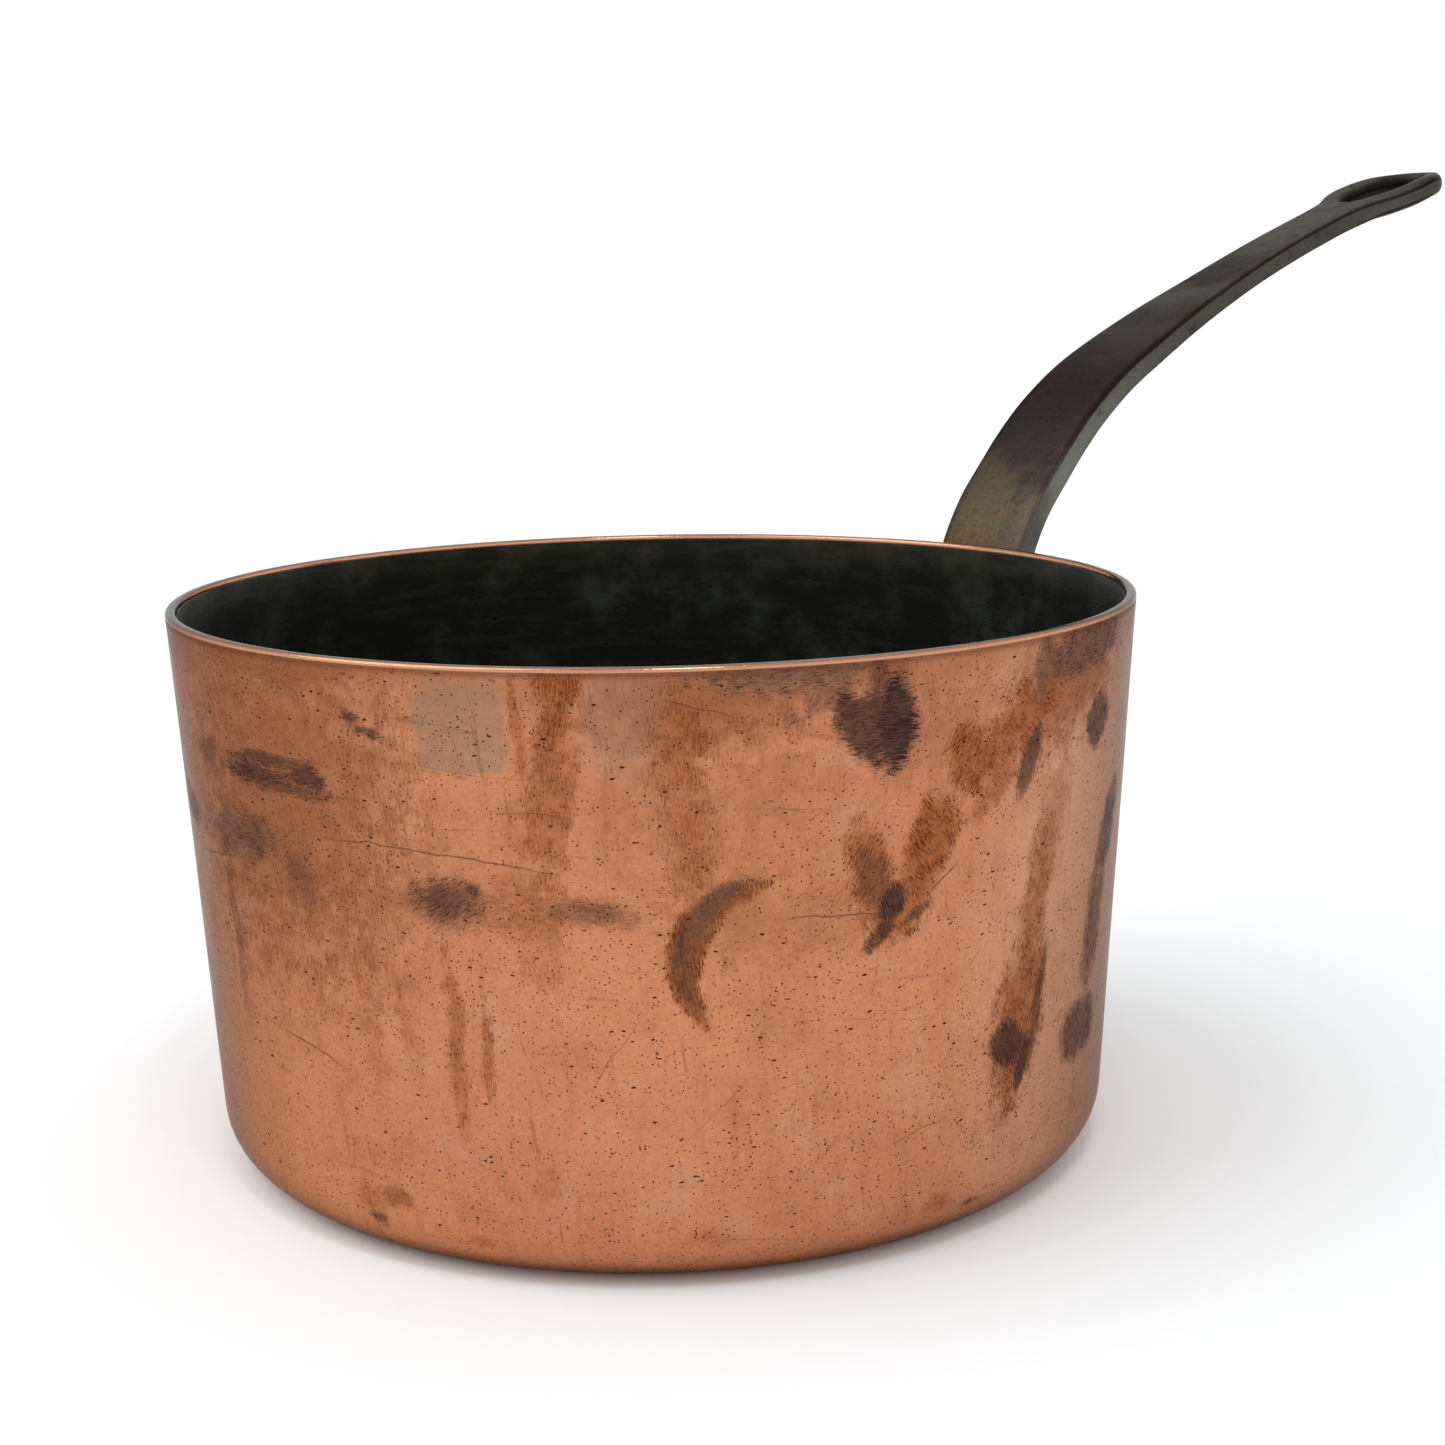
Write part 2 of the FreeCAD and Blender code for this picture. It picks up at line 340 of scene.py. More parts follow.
def stemRows():
    # rows of (x, z, half width), evenly spaced along the handle's middle line
    shape = handleShape
    stations = []
    for height, halfWidth in shape["footHeights"]:
        stations.append((wallRadius(height * mm) / mm, height, halfWidth))
    stations += shape["stem"]
    dense = [throughPoints(stations, step / 1200) for step in range(1201)]
    rows = [dense[0]]
    run = 0.0
    for before, here in zip(dense, dense[1:]):
        run += math.hypot(here[0] - before[0], here[1] - before[1])
        narrow = shape["footSpacing"] if here[1] < shape["footTop"] else 1.0
        if run >= shape["rowSpacing"] * narrow:
            rows.append(here)
            run = 0.0
    return rows


def faceHeight(reach):
    # height of the face's middle line at a distance from the pan's axis, near the eyelet
    line = handleShape["face"]
    for index, (start, end) in enumerate(zip(line, line[1:])):
        if reach <= end[0] or index == len(line) - 2:
            before = line[max(index - 1, 0)]
            after = line[min(index + 2, len(line) - 1)]
            width = end[0] - start[0]
            part = (reach - start[0]) / width
            slopeIn = (end[1] - before[1]) / (end[0] - before[0]) * width
            slopeOut = (after[1] - start[1]) / (after[0] - start[0]) * width
            a, b = part * part, part * part * part
            return ((2 * b - 3 * a + 1) * start[1] + (b - 2 * a + part) * slopeIn
                    + (3 * a - 2 * b) * end[1] + (b - a) * slopeOut)
    return line[-1][1]


def limbRows(count):
    limb = handleShape["limb"]
    mirrored = [(a, -b, c, -d) for a, b, c, d in limb[-2:-4:-1]]
    full = limb + mirrored
    share = (len(limb) - 1) / (len(full) - 1)
    return [throughPoints(full, share * step / count) for step in range(count + 1)]


def stemSpot(row, rows, across):
    # a point on the face towards the pan, and the direction and depth of the metal behind it
    shape = handleShape
    x, z, halfWidth = rows[row]
    before, after = rows[max(row - 1, 0)], rows[min(row + 1, len(rows) - 1)]
    along = Vector((after[0] - before[0], 0.0, after[1] - before[1])).normalized()
    side = across * halfWidth
    wallTop, barFoot = shape["leavesWall"]
    ribFoot, ribTop = shape["ribHeights"]
    onWall = 1.0 - smoothStep(z, wallTop, barFoot)
    radius = wallRadius(z * mm) / mm
    rounded = math.sqrt(max(radius * radius - side * side, 0.0))
    spot = Vector((x + (rounded - radius) * onWall, side, z))
    back = Vector((along.z, 0.0, -along.x))
    turned = Vector((back.x * rounded / radius, side / radius, back.z)).normalized()
    back = back.lerp(turned, onWall).normalized()
    ribEdge = 8.0 + 8.0 * smoothStep(z, 100.0, ribTop)
    rib = smoothStep(z, ribFoot, ribTop) * (1.0 - smoothStep(abs(side), ribEdge, 19.0))
    rib = max(rib, smoothStep(z, wallTop, 126.0))
    thinning = smoothStep(x, *shape["thinningReach"])
    stem = shape["stemThickness"] + (shape["tipThickness"] - shape["stemThickness"]) * thinning
    depth = shape["plateThickness"] + (stem - shape["plateThickness"]) * rib
    crown = shape["crown"] * (1.0 - across ** 4) * (1.0 - onWall)
    spot -= back * crown
    return spot, back * (depth + 2 * crown * 0.6)


def limbSpot(row, rows, share, side):
    shape = handleShape
    innerX, innerY, outerX, outerY = rows[row]
    x = innerX + (outerX - innerX) * share
    y = (innerY + (outerY - innerY) * share) * side
    slope = faceHeight(x + 0.5) - faceHeight(x - 0.5)
    back = Vector((slope, 0.0, -1.0)).normalized()
    opened = smoothStep(row, 0.0, 5.0)
    edge = abs(2.0 * share - 1.0) ** 2.6 * opened + share ** 4 * (1.0 - opened) * 0.3
    drop = shape["limbDrop"] * edge
    crown = shape["crown"] * (1.0 - share ** 4) * (1.0 - opened) + 0.5 * opened
    spot = Vector((x, y, faceHeight(x))) + back * (drop - crown)
    depth = shape["tipThickness"] - 2 * drop + crown * 1.6
    return spot, back * depth, math.hypot(outerX - innerX, outerY - innerY)


def makeHandle():
    shape = handleShape
    half = len(shape["stemColumns"]) - 1
    stem = stemRows()
    limbCount = shape["limbRowCount"]
    limb = limbRows(limbCount)
    crotch = len(stem)
    rowCount = crotch + limbCount
    mesh = bmesh.new()
    bmesh.ops.create_grid(mesh, x_segments=2 * half, y_segments=rowCount, size=1.0)

    def gridPlace(vert):
        return round((vert.co.y + 1.0) / 2.0 * rowCount), round((vert.co.x + 1.0) * half) - half

    slit = []
    for edge in mesh.edges:
        places = [gridPlace(vert) for vert in edge.verts]
        if all(column == 0 and row >= crotch for row, column in places):
            slit.append(edge)
    bmesh.ops.split_edges(mesh, edges=slit)
    backLayer = mesh.verts.layers.float_vector.new("back")
    zoneLayer = mesh.verts.layers.float_vector.new("ironZone")      # towards an edge, in the eyelet's hole
    roomLayer = mesh.verts.layers.float.new("room")                 # width free for rounding an edge
    spots = {}
    for vert in mesh.verts:
        row, column = gridPlace(vert)
        middle = sum(face.calc_center_median().x for face in vert.link_faces)
        side = 1.0 if middle > 0 else -1.0
        share = shape["stemColumns"][abs(column)]
        if row < crotch:
            spot, back = stemSpot(row, stem, share * side if column else 0.0)
            room, zone = 0.27 * stem[row][2], (share, 0.0, 0.0)
        else:
            opened = smoothStep(row - crotch, 0.0, 4.0)
            share += (shape["limbColumns"][abs(column)] - share) * opened
            spot, back, width = limbSpot(row - crotch, limb, share, side)
            room = 0.27 * width
            zone = (share, 1.0 if column == 0 and row > crotch else 0.0, 0.0)
        spots[vert] = (spot * mm, back * mm, room, zone)
    for vert, (spot, back, room, zone) in spots.items():
        vert.co = spot
        vert[backLayer] = back
        vert[roomLayer] = room
        vert[zoneLayer] = zone
    bmesh.ops.remove_doubles(mesh, verts=mesh.verts[:], dist=0.02 * mm)
    faceVerts = set(mesh.verts)
    grown = bmesh.ops.extrude_face_region(mesh, geom=mesh.faces[:])
    for vert in [item for item in grown["geom"] if isinstance(item, bmesh.types.BMVert)]:
        vert.co += vert[backLayer]
    bmesh.ops.recalc_face_normals(mesh, faces=mesh.faces[:])
    weight = mesh.edges.layers.float.new("bevel_weight_edge")
    rims = 0
    for edge in mesh.edges:
        if len(edge.link_faces) != 2 or edge.calc_face_angle() < math.radians(50):
            continue
        middle = (edge.verts[0].co + edge.verts[1].co) / 2
        onWall = 1.0 - smoothStep(middle.z, 124 * mm, 136 * mm)
        rounding = shape["edgeRounding"] + (shape["plateRounding"] - shape["edgeRounding"]) * onWall
        if all(vert in faceVerts for vert in edge.verts):
            rounding *= 1.0 - onWall
        room = 0.92 * min(vert[roomLayer] for vert in edge.verts)
        edge[weight] = min(rounding, room) / shape["edgeRounding"]
        rims += 1
    openEdges = [edge for edge in mesh.edges if len(edge.link_faces) != 2]
    print("handle", len(mesh.faces), "faces", rims, "rounded edges", len(openEdges), "open edges")
    handle = newPiece("ironHandle", mesh)
    rounder = handle.modifiers.new("rounder", "BEVEL")
    rounder.limit_method = "WEIGHT"
    rounder.width = shape["edgeRounding"] * mm
    rounder.segments = 3
    rounder.profile = 0.5
    rounder.use_clamp_overlap = False
    finer = handle.modifiers.new("finer", "SUBSURF")
    finer.levels = 1
    finer.render_levels = 1
    handle.data.materials.append(makeDarkIron())
    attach(handle, "root")
    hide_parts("handle")


# the copper rivets

rivetShape = {
    "shankRadius": 4.0 * mm,
    "outerRadius": 7.5 * mm,
    "outerHeight": 2.8 * mm,
    "innerRadius": 8.0 * mm,
    "innerHeight": 1.8 * mm,
    "places": {"rivet_upper_left": (27.0 * mm, 87.0 * mm), "rivet_upper_right": (-27.0 * mm, 87.0 * mm),
               "rivet_lower": (0.0, 60.0 * mm)},
    "turnSteps": 40,
    "unevenness": 0.22 * mm,
}


def headProfile(seat, radius, height, side, steps=7):
    # from the shank out under the head, round its edge and over the dome to the axis
    points = [(rivetShape["shankRadius"], seat - side * 0.5 * mm), (radius * 0.97, seat - side * 0.5 * mm)]
    points.append((radius, seat + side * 0.25 * height))
    for step in range(1, steps + 1):
        angle = math.pi / 2 * step / steps
        rise = 0.25 + 0.75 * math.sin(angle)
        points.append((radius * math.cos(angle) ** 0.8, seat + side * height * rise))
    points[-1] = (0.0, seat + side * height)
    return points


def makeRivets():
    shape = rivetShape
    taper = math.radians(vesselShape["wallTaper"])
    plate = handleShape["plateThickness"] * mm
    wall = vesselShape["wallThickness"]
    copper = makeRivetCopper()
    for number, (node, (side, height)) in enumerate(shape["places"].items()):
        outer = headProfile(plate, shape["outerRadius"], shape["outerHeight"], 1)
        inner = headProfile(-wall, shape["innerRadius"], shape["innerHeight"], -1)
        mesh = spinProfile(inner[::-1] + outer, shape["turnSteps"], axis=(1, 0, 0), across=(0, 1, 0))
        for vert in mesh.verts:
            reach = math.hypot(vert.co.y, vert.co.z)
            blow = noise.noise(vert.co / (4.5 * mm) + Vector((7.0 * number, 3.0, 1.0)))
            vert.co *= 1.0 if reach < shape["shankRadius"] * 0.4 else 1.0 + 0.03 * blow
            outside = vert.co.x > plate + 0.8 * mm
            inside = vert.co.x < -wall - 0.5 * mm
            if outside or inside:
                vert.co.x += shape["unevenness"] * blow
        turn = math.asin(side / wallRadius(height))
        place = Matrix.Rotation(turn, 4, "Z") @ Matrix.Translation((wallRadius(height), 0.0, height))
        bmesh.ops.transform(mesh, matrix=place @ Matrix.Rotation(taper, 4, "Y"), verts=mesh.verts[:])
        bmesh.ops.recalc_face_normals(mesh, faces=mesh.faces[:])
        rivet = newPiece(node.replace("rivet_", "copperRivet_"), mesh)
        rivet.data.materials.append(copper)
        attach(rivet, "root")
        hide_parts(node)
    print("rivets", len(shape["places"]))


# node helpers

def newMaterial(name):
    paint = bpy.data.materials.new(name)
    paint.use_nodes = True
    return paint


def addNode(tree, kind, **settings):
    node = tree.nodes.new(kind)
    for setting, value in settings.items():
        setattr(node, setting, value)
    node.location.x = 40 * len(tree.nodes)
    return node


def feed(tree, socket, value):
    if isinstance(value, bpy.types.NodeSocket):
        tree.links.new(value, socket)
    elif value is not None:
        socket.default_value = value


def maths(tree, operation, *values):
    node = addNode(tree, "ShaderNodeMath", operation=operation)
    for socket, value in zip(node.inputs, values):
        feed(tree, socket, value)
    return node.outputs[0]


def times(tree, *values):
    return maths(tree, "MULTIPLY", *values)


def plus(tree, *values):
    return maths(tree, "ADD", *values)


def minus(tree, *values):
    return maths(tree, "SUBTRACT", *values)


def timesPlus(tree, *values):
    return maths(tree, "MULTIPLY_ADD", *values)


def larger(tree, *values):
    return maths(tree, "MAXIMUM", *values)


def vectorMaths(tree, operation, *values):
    node = addNode(tree, "ShaderNodeVectorMath", operation=operation)
    for socket, value in zip(node.inputs, values):
        feed(tree, socket, value)
    return node.outputs[0]


def stretch(tree, value, fromLow, fromHigh, toLow=0.0, toHigh=1.0, soft=False):
    node = addNode(tree, "ShaderNodeMapRange")
    if soft:
        node.interpolation_type = "SMOOTHSTEP"
    for socket, amount in zip(node.inputs, (value, fromLow, fromHigh, toLow, toHigh)):
        feed(tree, socket, amount)
    return node.outputs[0]


def mixColour(tree, share, first, second, blend="MIX"):
    node = addNode(tree, "ShaderNodeMix", data_type="RGBA", blend_type=blend)
    feed(tree, node.inputs["Factor"], share)
    feed(tree, node.inputs["A"], first)
    feed(tree, node.inputs["B"], second)
    return node.outputs["Result"]


def split(tree, vector):
    node = addNode(tree, "ShaderNodeSeparateXYZ")
    feed(tree, node.inputs[0], vector)
    return node.outputs


def join(tree, x, y, z=0.0):
    node = addNode(tree, "ShaderNodeCombineXYZ")
    for socket, value in zip(node.inputs, (x, y, z)):
        feed(tree, socket, value)
    return node.outputs[0]


def noiseAt(tree, place, size, detail=3.0, rough=0.55, flat=False):
    # size is the width of a patch in the place's own units
    node = addNode(tree, "ShaderNodeTexNoise", noise_dimensions="2D" if flat else "3D")
    feed(tree, node.inputs["Vector"], place)
    node.inputs["Scale"].default_value = 1.0 / size
    node.inputs["Detail"].default_value = detail
    node.inputs["Roughness"].default_value = rough
    return node.outputs["Fac"]


def turnFlat(tree, place, angle):
    # turns a place about Z
    node = addNode(tree, "ShaderNodeVectorRotate", rotation_type="Z_AXIS")
    feed(tree, node.inputs["Vector"], place)
    feed(tree, node.inputs["Angle"], angle)
    return node.outputs[0]


def squeeze(tree, place, x, y, z):
    return vectorMaths(tree, "MULTIPLY", place, (x, y, z))


def shift(tree, place, step):
    return vectorMaths(tree, "ADD", place, step)


def scaled(tree, place, factor):
    return vectorMaths(tree, "SCALE", place, None, None, factor)


def newGroup(name, inputs, outputs):
    group = bpy.data.node_groups.new(name, "ShaderNodeTree")
    for label, kind, value in inputs:
        socket = group.interface.new_socket(label, in_out="INPUT", socket_type="NodeSocket" + kind)
        if value is not None:
            socket.default_value = value
    for label, kind in outputs:
        group.interface.new_socket(label, in_out="OUTPUT", socket_type="NodeSocket" + kind)
    start = addNode(group, "NodeGroupInput")
    end = addNode(group, "NodeGroupOutput")
    return group, start.outputs, end.inputs


def useGroup(tree, name, values):
    node = addNode(tree, "ShaderNodeGroup", node_tree=bpy.data.node_groups[name])
    for label, value in values.items():
        feed(tree, node.inputs[label], value)
    return node.outputs


def bodyPlace(tree):
    # object coordinates in millimetres
    place = addNode(tree, "ShaderNodeTexCoord")
    return scaled(tree, place.outputs["Object"], 1000.0)


def startFinish(name):
    paint = newMaterial(name)
    tree = paint.node_tree
    return paint, tree, tree.nodes["Principled BSDF"], bodyPlace(tree)


def emboss(tree, shader, relief):
    # relief is in millimetres
    bump = addNode(tree, "ShaderNodeBump")
    bump.inputs["Distance"].default_value = mm
    feed(tree, bump.inputs["Height"], relief)
    feed(tree, shader.inputs["Normal"], bump.outputs[0])


def pitsAt(tree, place, spacing, size, share):
    values = {"Place": place, "Spacing": spacing, "Size": size, "Share": share}
    return useGroup(tree, "pitField", values)["Mask"]


def scratchesAt(tree, place, tilt, spacing, width, share):
    values = {"Place": place, "Tilt": tilt, "Spacing": spacing, "Width": width, "Share": share}
    return useGroup(tree, "scratchField", values)["Mask"]


# effects that several finishes share

def buildEffects():
    # wallPlace unrolls the wall: degrees round it times 2.04 gives millimetres, then height
    tree, start, end = newGroup("wallPlace", [("Place", "Vector", None)], [
        ("Flat", "Vector"), ("Turn", "Float"), ("Height", "Float"), ("Reach", "Float")])
    x, y, z = split(tree, turnFlat(tree, start["Place"], math.radians(wallFront)))
    turn = times(tree, maths(tree, "ARCTAN2", y, x), 180.0 / math.pi)
    feed(tree, end["Turn"], turn)
    feed(tree, end["Height"], z)
    feed(tree, end["Flat"], join(tree, times(tree, turn, wallPerDegree), z))
    squares = plus(tree, times(tree, x, x), times(tree, y, y))
    feed(tree, end["Reach"], maths(tree, "SQRT", squares))

    # rubbedInk turns a stain's attribute into masks: x is how deep inside the stain, y its strength,
    # z the way it was rubbed, in radians. Wash is its soft body and Strokes the fine marks that fray it
    tree, start, end = newGroup("rubbedInk", [
        ("Place", "Vector", None), ("Stain", "Vector", None), ("Grain Size", "Float", 0.8),
        ("Ragged", "Float", 0.5), ("Patchy", "Float", 0.5)], [("Wash", "Float"), ("Strokes", "Float")])
    inside, strength, rubbed = split(tree, start["Stain"])
    strokes = squeeze(tree, turnFlat(tree, start["Place"], rubbed), 1.0, 0.15, 1.0)
    strokes = scaled(tree, strokes, maths(tree, "DIVIDE", 1.0, start["Grain Size"]))
    grain = stretch(tree, noiseAt(tree, strokes, 1.0, 2.0, 0.75, flat=True), 0.40, 0.62)
    mottle = stretch(tree, noiseAt(tree, start["Place"], 5.0, 5.0, 0.7, flat=True), 0.41, 0.60)
    patchy = times(tree, mottle, start["Patchy"])
    soft = minus(tree, times(tree, inside, 1.4), times(tree, patchy, 0.4))
    wash = stretch(tree, soft, 0.0, 1.1, soft=True)
    feed(tree, end["Wash"], times(tree, wash, strength))
    depth = times(tree, inside, plus(tree, start["Ragged"], 1.0))
    depth = minus(tree, depth, times(tree, grain, start["Ragged"]))
    frayed = stretch(tree, depth, 0.1, 0.9, soft=True)
    body = minus(tree, 1.0, times(tree, grain, timesPlus(tree, start["Patchy"],
                                                                            0.7, 0.25)))
    body = times(tree, body, minus(tree, 1.0, times(tree, patchy, 0.7)))
    feed(tree, end["Strokes"], times(tree, times(tree, frayed, body), strength))

    # cutMark is one thin scratch
    tree, start, end = newGroup("cutMark", [
        ("Place", "Vector", None), ("Centre", "Vector", None), ("Half Length", "Float", 5.0),
        ("Tilt", "Float", 0.0), ("Bend", "Float", 0.0), ("Strength", "Float", 1.0), ("Before", "Float", 0.0)],
        [("Mask", "Float")])
    fromCentre = vectorMaths(tree, "SUBTRACT", start["Place"], start["Centre"])
    u, v = split(tree, turnFlat(tree, fromCentre, start["Tilt"]))[:2]
    v = plus(tree, v, times(tree, times(tree, u, u), start["Bend"]))
    fromMiddle = maths(tree, "ABSOLUTE", maths(tree, "DIVIDE", u, start["Half Length"]))
    taper = stretch(tree, fromMiddle, 0.6, 1.0, 1.0, 0.0)
    line = stretch(tree, maths(tree, "ABSOLUTE", v), 0.26, 0.10)
    mask = times(tree, times(tree, line, taper), start["Strength"])
    feed(tree, end["Mask"], larger(tree, mask, start["Before"]))

    # pitField scatters small dark pits; Spacing in mm, Size is the widest pit's share of it
    tree, start, end = newGroup("pitField", [
        ("Place", "Vector", None), ("Spacing", "Float", 2.0), ("Size", "Float", 0.3),
        ("Share", "Float", 0.5)], [("Mask", "Float")])
    cellScale = maths(tree, "DIVIDE", 1.0, start["Spacing"])
    cells = addNode(tree, "ShaderNodeTexVoronoi", voronoi_dimensions="3D", feature="F1")
    feed(tree, cells.inputs["Vector"], start["Place"])
    feed(tree, cells.inputs["Scale"], cellScale)
    chance, kind, other = split(tree, cells.outputs["Color"])
    radius = times(tree, kind, start["Size"])
    radius = times(tree, radius, maths(tree, "LESS_THAN", chance, start["Share"]))
    depth = stretch(tree, minus(tree, radius, cells.outputs["Distance"]), -0.02, 0.08)
    feed(tree, end["Mask"], times(tree, depth, timesPlus(tree, other, 0.6, 0.4)))

    # scratchField draws thin broken lines that run one way
    tree, start, end = newGroup("scratchField", [
        ("Place", "Vector", None), ("Tilt", "Float", 0.0), ("Spacing", "Float", 3.0),
        ("Width", "Float", 0.02), ("Share", "Float", 0.3)], [("Mask", "Float")])
    long = squeeze(tree, turnFlat(tree, start["Place"], start["Tilt"]), 0.06, 1.0, 1.0)
    long = scaled(tree, long, maths(tree, "DIVIDE", 1.0, start["Spacing"]))
    wander = noiseAt(tree, long, 1.0, 1.0, 0.4, flat=True)
    line = maths(tree, "ABSOLUTE", minus(tree, wander, 0.5))
    line = stretch(tree, line, start["Width"], 0.0)
    where = noiseAt(tree, vectorMaths(tree, "ADD", vectorMaths(tree, "SCALE", long, None, None, 0.7),
                                      (31.0, 7.0, 0.0)), 1.0, 2.0, 0.6, flat=True)
    kept = stretch(tree, where, minus(tree, 0.72, times(tree, start["Share"], 0.4)),
                   minus(tree, 0.78, times(tree, start["Share"], 0.4)))
    feed(tree, end["Mask"], times(tree, line, kept))


# how the copper looks

wallFront = 130.0       # degrees that turn the wall's front to +X
wallPerDegree = 2.04    # mm of wall in one degree
stainReach = 2.2        # how far a stain is looked for, in its own half widths

